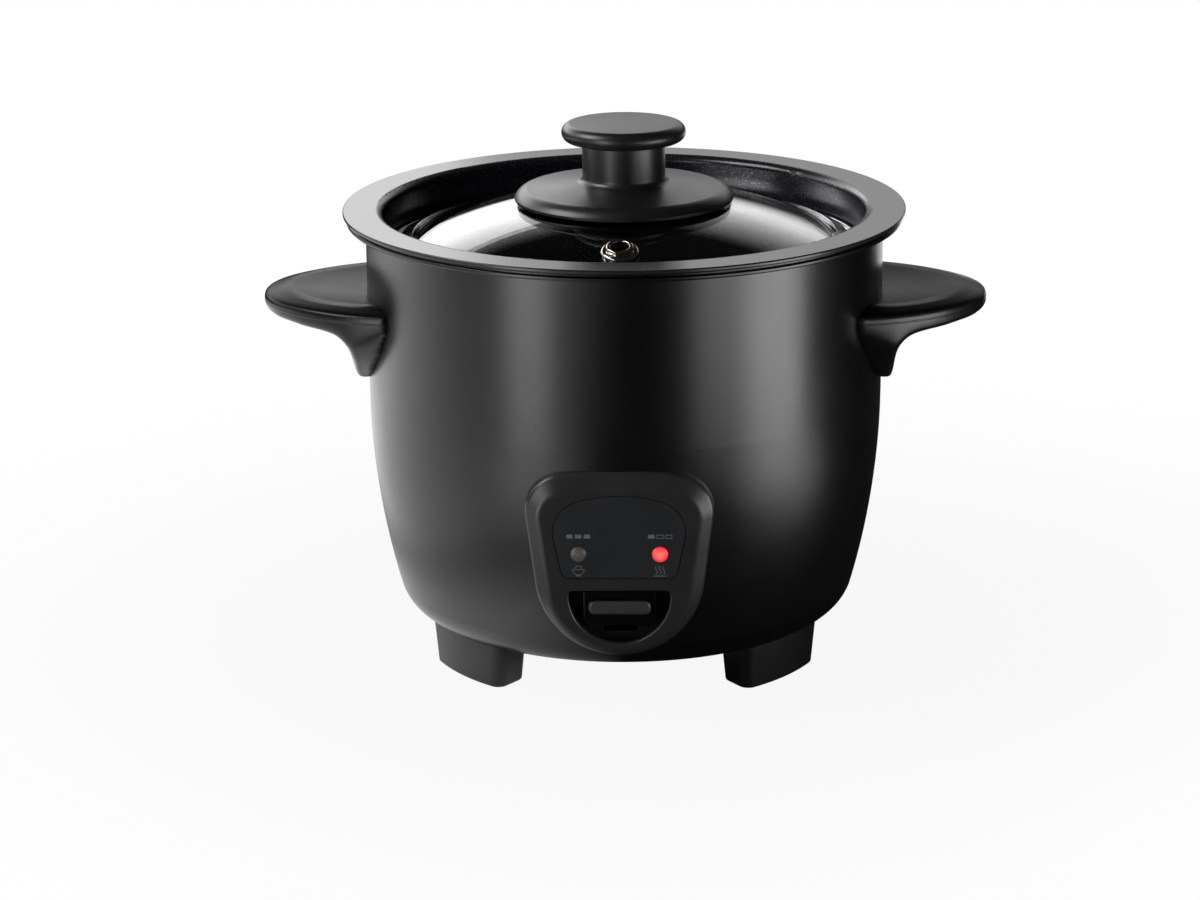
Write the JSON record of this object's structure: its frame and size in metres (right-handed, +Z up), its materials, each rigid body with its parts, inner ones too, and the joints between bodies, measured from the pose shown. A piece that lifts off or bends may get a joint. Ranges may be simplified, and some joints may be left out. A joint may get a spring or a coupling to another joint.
{
  "type": "rice cooker",
  "caption": "Small round electric rice cooker with a lift-out pot, domed glass lid with a mushroom knob, side handles, and a front panel with rocker key and lamps.",
  "frame": {"origin": "on the table, under the middle of the cooker", "axes": "+Z up, the panel looks towards -Y, the handles stand out along X"},
  "size_m": [0.2262, 0.175, 0.1679],
  "materials": {
    "shell_paint": "satin black enamel",
    "pot_coating": "grey non-stick coating",
    "lid_glass": "clear tempered glass",
    "bright_steel": "polished",
    "plain_steel": "bare sheet",
    "cast_aluminium": "machined casting",
    "black_plastic": "fine matt moulding",
    "panel_plastic": "satin moulding",
    "key_plastic": "satin with a glossy bar",
    "label_film": "smooth dark film",
    "grey_lens": "unlit lens",
    "red_lens": "lit lens",
    "board_green": "circuit board",
    "ferrite": "sintered",
    "silicone": "soft",
    "mica": "heater wound on mica",
    "wire_brown": "insulation",
    "wire_blue": "insulation",
    "wire_white": "glass-fibre sleeve",
    "wire_green": "insulation"
  },
  "bodies": {
    "housing": {"outer_shell": "shell_paint", "inner_liner": "plain_steel", "base_cover": "plain_steel", "base_screws": "plain_steel", "foot_screws": "plain_steel", "handle_screws": "plain_steel", "heater_screws": "plain_steel", "board_screws": "plain_steel", "lever_bracket": "plain_steel", "lever_pin": "plain_steel", "sensor_spring": "plain_steel", "release_spring": "plain_steel", "heater_terminals": "plain_steel", "inlet_prongs": "plain_steel", "thermal_fuse": "plain_steel", "fuse_clip": "plain_steel", "sensor_base": "plain_steel", "heating_plate": "cast_aluminium", "handle_left": "black_plastic", "handle_right": "black_plastic", "inlet_housing": "black_plastic", "micro_switch": "black_plastic", "key_guide": "black_plastic", "foot_front_right": "black_plastic", "foot_rear_right": "black_plastic", "foot_rear_left": "black_plastic", "foot_front_left": "black_plastic", "panel_bezel": "panel_plastic", "panel_label": "label_film", "cook_lamp": "grey_lens", "warm_lamp": "red_lens", "lamp_board": "board_green", "keep_warm_band": "mica", "live_wire": "wire_brown", "neutral_wire": "wire_blue", "fuse_wire": "wire_white", "heater_wire": "wire_white", "earth_wire": "wire_green"},
    "pot": {"inner_pot": "pot_coating", "pot_rim": "pot_coating"},
    "lid": {"lid_glass": "lid_glass", "lid_band": "bright_steel", "steam_vent": "bright_steel", "knob_collar": "black_plastic", "knob_grip": "black_plastic", "knob_gasket": "silicone", "knob_screw": "plain_steel", "knob_washer": "silicone"},
    "rocker": {"cook_key": "key_plastic", "switch_lever": "plain_steel"},
    "plunger": {"latch_magnet": "ferrite", "plunger_rod": "plain_steel"},
    "button": {"switch_button": "red_lens"},
    "sensor": {"sensor_cap": "cast_aluminium", "sensor_ferrite": "ferrite"}
  },
  "joints": [
    {"name": "pot_lift", "type": "slide", "parent": "housing", "child": "pot", "axis": [0, 0, 1], "range_m": [0, 0.11]},
    {"name": "lid_lift", "type": "slide", "parent": "pot", "child": "lid", "axis": [0, 0, 1], "range_m": [0, 0.08]},
    {"name": "key_press", "type": "hinge", "parent": "housing", "child": "rocker", "pos_m": [0, -0.036, 0.0355], "axis": [1, 0, 0], "range_deg": [0, 5.33], "stiffness_Nm_per_rad": 0.15, "springref_deg": -8.59},
    {"name": "plunger_lift", "type": "slide", "parent": "housing", "child": "plunger", "axis": [0, 0, 1], "range_m": [0, 0.0034], "deforming": ["release_spring"]},
    {"name": "button_press", "type": "slide", "parent": "housing", "child": "button", "axis": [0, 0, -1], "range_m": [0, 0.0012]},
    {"name": "sensor_rise", "type": "slide", "parent": "housing", "child": "sensor", "axis": [0, 0, 1], "range_m": [0, 0.003], "deforming": ["sensor_spring"]}
  ],
  "couplings": [
    {"joint": "plunger_lift", "follows": "key_press", "m_per_rad": 0.036},
    {"joint": "button_press", "follows": "key_press", "m_per_rad": 0.0128},
    {"joint": "sensor_rise", "follows": "pot_lift", "ratio": 0.0272}
  ]
}
